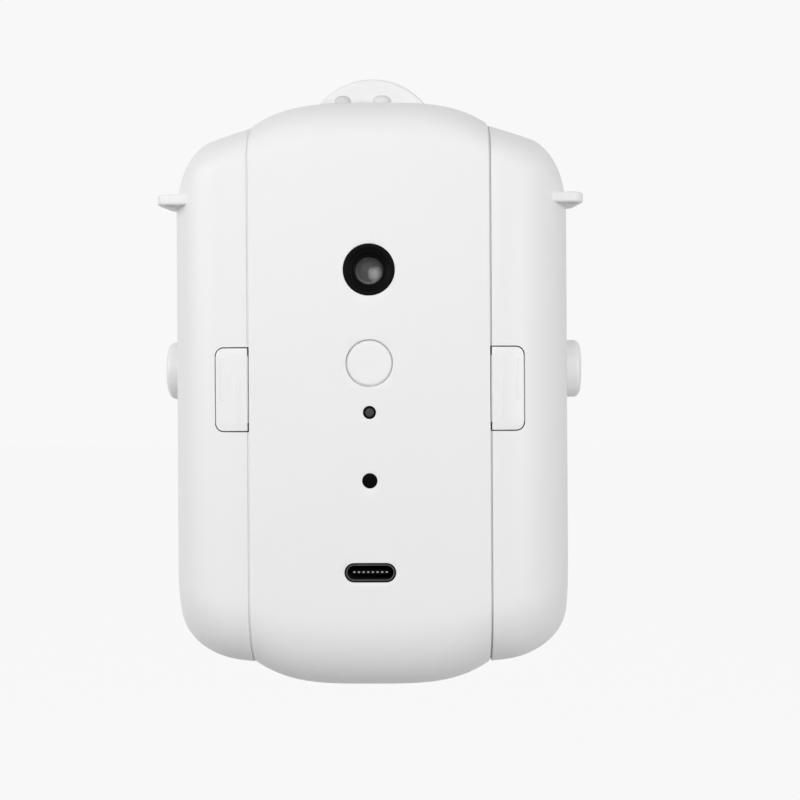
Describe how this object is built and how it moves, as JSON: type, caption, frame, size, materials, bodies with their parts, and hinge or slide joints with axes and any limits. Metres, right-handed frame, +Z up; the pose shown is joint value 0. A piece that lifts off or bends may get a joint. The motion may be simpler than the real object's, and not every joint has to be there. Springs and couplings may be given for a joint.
{
  "type": "smart curtain robot",
  "caption": "Battery curtain robot that hangs under a rail: rubber drive wheel on top, sliding side wings with curtain eyelets, front light sensor, button, indicator and charging inlet.",
  "frame": {"origin": "top of the drive wheel, where it meets the underside of the rail", "axes": "+X along the rail to the right seen from the front, +Y from the front panel to the back, +Z up"},
  "size_m": [0.08, 0.0501, 0.1146],
  "materials": {
    "white_shell": "fine moulded satin",
    "white_button": "smooth satin",
    "white_rubber": "matt, fine grip",
    "black_plastic": "smooth",
    "grey_plastic": "plain moulded",
    "dark_lens": "clear gloss over dark",
    "indicator_grey": "frosted light pipe",
    "board_green": "solder mask",
    "steel": "plated",
    "bronze": "sintered",
    "cell_wrap": "shrink sleeve",
    "gear_white": "acetal"
  },
  "bodies": {
    "body": {"front_cover": "white_shell", "back_cover": "white_shell", "chassis": "grey_plastic", "gearbox_cover": "grey_plastic", "gearbox_screws": "steel", "gear_axles": "steel", "shaft_bushes": "bronze", "motor_can": "steel", "motor_gearhead": "bronze", "motor_screws": "steel", "battery_cells": "cell_wrap", "battery_holder": "black_plastic", "battery_contacts": "steel", "main_pcb": "board_green", "pcb_screws": "steel", "case_screws": "steel", "usb_shell": "steel", "usb_tongue": "black_plastic", "tact_switch": "black_plastic", "sensor_bezel": "black_plastic", "sensor_lens": "dark_lens", "light_sensor": "black_plastic", "led_light_pipe": "indicator_grey", "led_chip": "grey_plastic", "receiver_window": "black_plastic", "receiver_chip": "black_plastic", "top_screw": "steel", "top_pin": "grey_plastic", "left_guide_bushes": "bronze", "right_guide_bushes": "bronze"},
    "drive_wheel": {"drive_tyre": "white_rubber", "wheel_hub": "white_button", "drive_shaft": "steel", "output_gear": "gear_white"},
    "gear_b": {"compound_gear_b": "gear_white"},
    "gear_a": {"compound_gear_a": "gear_white"},
    "motor_rotor": {"motor_shaft": "steel", "motor_pinion": "bronze"},
    "button": {"main_button": "white_button", "switch_plunger": "grey_plastic"},
    "left_wing_unit": {"left_wing": "white_shell", "left_wing_plate": "grey_plastic", "left_wing_screws": "steel", "left_guide_rods": "steel", "left_tab_spring": "steel", "left_button_spring": "steel"},
    "left_tab": {"left_release_tab": "white_button"},
    "left_knob": {"left_side_button": "white_button"},
    "right_wing_unit": {"right_wing": "white_shell", "right_wing_plate": "grey_plastic", "right_wing_screws": "steel", "right_guide_rods": "steel", "right_tab_spring": "steel", "right_button_spring": "steel"},
    "right_tab": {"right_release_tab": "white_button"},
    "right_knob": {"right_side_button": "white_button"}
  },
  "joints": [
    {"name": "wheel_spin", "type": "hinge", "parent": "body", "child": "drive_wheel", "pos_m": [0, 0, -0.0132], "axis": [0, 1, 0], "continuous": true},
    {"name": "gear_b_spin", "type": "hinge", "parent": "body", "child": "gear_b", "pos_m": [0, 0, -0.0212], "axis": [0, 1, 0], "continuous": true},
    {"name": "gear_a_spin", "type": "hinge", "parent": "body", "child": "gear_a", "pos_m": [0, 0, -0.02945], "axis": [0, 1, 0], "continuous": true},
    {"name": "motor_spin", "type": "hinge", "parent": "body", "child": "motor_rotor", "pos_m": [0, 0, -0.0377], "axis": [0, 1, 0], "continuous": true},
    {"name": "main_button_press", "type": "slide", "parent": "body", "child": "button", "axis": [0, 1, 0], "range_m": [0, 0.0005], "stiffness_N_per_m": 150},
    {"name": "left_wing_slide", "type": "slide", "parent": "body", "child": "left_wing_unit", "axis": [-1, 0, 0], "range_m": [0, 0.01]},
    {"name": "left_tab_press", "type": "slide", "parent": "left_wing_unit", "child": "left_tab", "axis": [0, 1, 0], "range_m": [0, 0.0012], "stiffness_N_per_m": 150, "deforming": ["left_tab_spring"]},
    {"name": "left_side_button_press", "type": "slide", "parent": "left_wing_unit", "child": "left_knob", "axis": [1, 0, 0], "range_m": [0, 0.0018], "stiffness_N_per_m": 150, "deforming": ["left_button_spring"]},
    {"name": "right_wing_slide", "type": "slide", "parent": "body", "child": "right_wing_unit", "axis": [1, 0, 0], "range_m": [0, 0.01]},
    {"name": "right_tab_press", "type": "slide", "parent": "right_wing_unit", "child": "right_tab", "axis": [0, 1, 0], "range_m": [0, 0.0012], "stiffness_N_per_m": 150, "deforming": ["right_tab_spring"]},
    {"name": "right_side_button_press", "type": "slide", "parent": "right_wing_unit", "child": "right_knob", "axis": [-1, 0, 0], "range_m": [0, 0.0018], "stiffness_N_per_m": 150, "deforming": ["right_button_spring"]}
  ],
  "couplings": [
    {"joint": "gear_b_spin", "follows": "wheel_spin", "ratio": -1.2857},
    {"joint": "gear_a_spin", "follows": "wheel_spin", "ratio": 2.25},
    {"joint": "motor_spin", "follows": "wheel_spin", "ratio": -3.9375}
  ]
}
